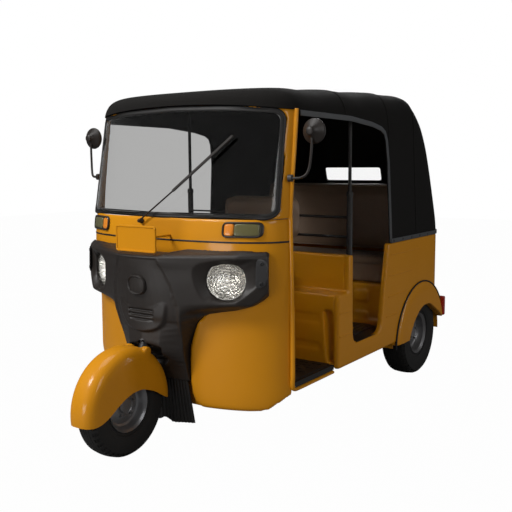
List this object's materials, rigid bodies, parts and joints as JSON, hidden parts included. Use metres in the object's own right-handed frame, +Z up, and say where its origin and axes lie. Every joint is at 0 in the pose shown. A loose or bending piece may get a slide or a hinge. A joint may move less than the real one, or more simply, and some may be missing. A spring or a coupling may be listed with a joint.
{
  "type": "auto rickshaw",
  "caption": "Three-wheeled taxi with a pressed steel body, canvas hood, steered front wheel, driver's seat and passenger bench.",
  "frame": {"origin": "on the ground, under the middle of the object's box", "axes": "+Z up, the nose towards -Y, the vehicle's left side towards +X"},
  "size_m": [1.492, 2.628, 1.7127],
  "materials": {
    "yellow_paint": "gloss",
    "black_plastic": "satin",
    "canvas": "matt",
    "rubber": "matt",
    "tyre": "matt",
    "dark_steel": "satin",
    "wheel_silver": "satin",
    "engine_metal": "rough",
    "grey_flange": "satin",
    "leather": "satin",
    "screen_glass": "clear",
    "lamp_glass": "fluted",
    "amber_lens": "gloss",
    "red_lens": "gloss"
  },
  "bodies": {
    "body": {"chassis_frame": "black_plastic", "front_cowl": "yellow_paint", "front_fairing": "black_plastic", "headlamp_left": "lamp_glass", "headlamp_right": "lamp_glass", "front_indicator_left": "amber_lens", "front_indicator_right": "amber_lens", "front_plate": "yellow_paint", "windscreen_frame": "yellow_paint", "windscreen_seal": "rubber", "windscreen_glass": "screen_glass", "hood": "canvas", "hood_rail": "grey_flange", "rear_window": "screen_glass", "side_panel_left": "yellow_paint", "side_panel_right": "yellow_paint", "rear_panel": "yellow_paint", "rear_fender_left": "yellow_paint", "rear_fender_right": "yellow_paint", "driver_box": "yellow_paint", "passenger_seat_base": "yellow_paint", "partition_frame": "dark_steel", "trailing_arm_left": "dark_steel", "trailing_arm_right": "dark_steel", "driver_floor": "rubber", "cabin_floor": "rubber", "driver_seat": "leather", "driver_backrest": "leather", "passenger_seat": "leather", "passenger_backrest": "leather", "mirror_left": "black_plastic", "mirror_right": "black_plastic", "wiper": "black_plastic", "dashboard": "black_plastic", "tail_lamp_left": "red_lens", "tail_lamp_right": "red_lens", "rear_bumper": "dark_steel", "engine_block": "engine_metal", "silencer": "dark_steel", "front_mudflap": "rubber"},
    "steering": {"fork": "dark_steel", "handlebar": "dark_steel", "front_mudguard": "yellow_paint"},
    "front_wheel": {"front_tyre": "tyre", "front_rim": "wheel_silver"},
    "rear_wheel_left": {"rear_tyre_left": "tyre", "rear_rim_left": "wheel_silver"},
    "rear_wheel_right": {"rear_tyre_right": "tyre", "rear_rim_right": "wheel_silver"},
    "lid": {"engine_lid": "yellow_paint"}
  },
  "joints": [
    {"name": "steer", "type": "hinge", "parent": "body", "child": "steering", "pos_m": [0, -1.016, 0.233], "axis": [0, 0.4695, 0.8829], "range_deg": [-40, 40]},
    {"name": "front_wheel_spin", "type": "hinge", "parent": "steering", "child": "front_wheel", "pos_m": [0, -1.046, 0.233], "axis": [1, 0, 0], "continuous": true},
    {"name": "rear_wheel_left_spin", "type": "hinge", "parent": "body", "child": "rear_wheel_left", "pos_m": [0.53, 0.954, 0.256], "axis": [1, 0, 0], "continuous": true},
    {"name": "rear_wheel_right_spin", "type": "hinge", "parent": "body", "child": "rear_wheel_right", "pos_m": [-0.53, 0.954, 0.256], "axis": [1, 0, 0], "continuous": true},
    {"name": "engine_lid_hinge", "type": "hinge", "parent": "body", "child": "lid", "pos_m": [0, 1.295, 0.807], "axis": [1, 0, 0], "range_deg": [0, 75]}
  ]
}
